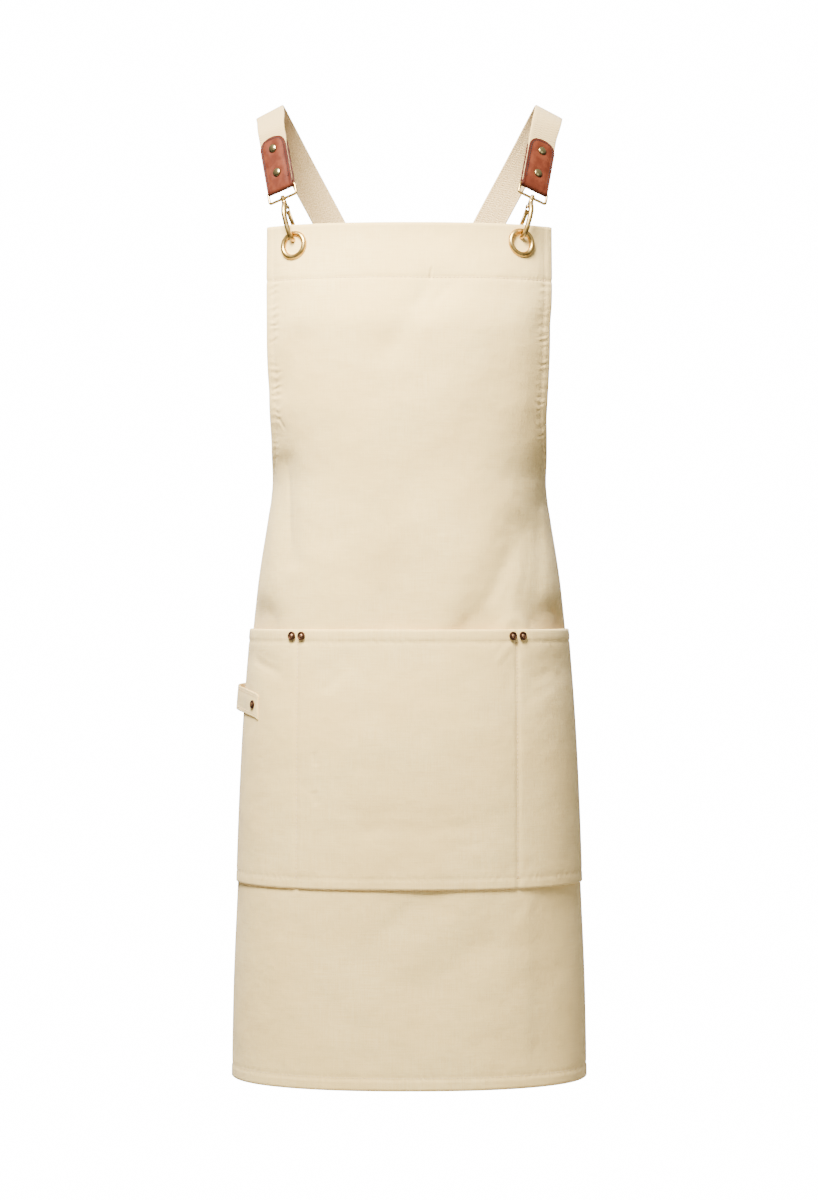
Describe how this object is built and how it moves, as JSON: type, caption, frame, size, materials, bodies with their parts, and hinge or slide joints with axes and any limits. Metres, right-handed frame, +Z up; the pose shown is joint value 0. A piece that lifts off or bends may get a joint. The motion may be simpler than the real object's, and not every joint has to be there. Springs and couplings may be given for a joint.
{
  "type": "cross back apron",
  "caption": "Canvas bib apron with wrap-round skirt, long divided pocket and webbing straps that cross at the back and clip to eyelets in the bib.",
  "frame": {"origin": "the shoulder rest, midway between the undersides of the two straps where they pass over the shoulders", "axes": "+Z up, the apron's front towards -Y, +X to the viewer's right from the front"},
  "size_m": [0.364, 0.2391, 0.994],
  "materials": {
    "canvas": "matt cream cotton canvas, plain weave",
    "webbing": "matt beige cotton webbing, herringbone inside",
    "leather": "smooth tan leather, satin",
    "pale_gold": "polished pale gold plating",
    "antique_brass": "antique brass, satin",
    "antique_copper": "antique copper, dark patina"
  },
  "bodies": {
    "root": {"apron_panel": "canvas", "pocket_panel": "canvas", "side_loop": "canvas", "side_loop_rivet": "antique_copper", "pocket_rivet_1": "antique_copper", "pocket_rivet_2": "antique_copper", "pocket_rivet_3": "antique_copper", "pocket_rivet_4": "antique_copper", "strap_left": "webbing", "strap_right": "webbing", "leather_tab_left": "leather", "leather_tab_right": "leather", "tab_rivet_left_lower": "antique_brass", "tab_rivet_left_upper": "antique_brass", "tab_rivet_right_lower": "antique_brass", "tab_rivet_right_upper": "antique_brass", "wire_loop_left": "pale_gold", "wire_loop_right": "pale_gold", "snap_hook_left": "pale_gold", "snap_hook_right": "pale_gold", "eyelet_left": "pale_gold", "eyelet_right": "pale_gold", "eyelet_washer_left": "pale_gold", "eyelet_washer_right": "pale_gold"},
    "gate_left": {"hook_gate_left": "pale_gold"},
    "gate_right": {"hook_gate_right": "pale_gold"}
  },
  "joints": [
    {"name": "gate_left_hinge", "type": "hinge", "parent": "root", "child": "gate_left", "pos_m": [-0.12336, -0.0722, -0.1052], "axis": [-0.8494, 0.4613, -0.2564], "range_deg": [0, 5], "stiffness_Nm_per_rad": 0.004, "springref_deg": -8.59},
    {"name": "gate_right_hinge", "type": "hinge", "parent": "root", "child": "gate_right", "pos_m": [0.11981, -0.07357, -0.10462], "axis": [-0.8607, -0.4297, 0.2729], "range_deg": [0, 5], "stiffness_Nm_per_rad": 0.004, "springref_deg": -8.59}
  ]
}
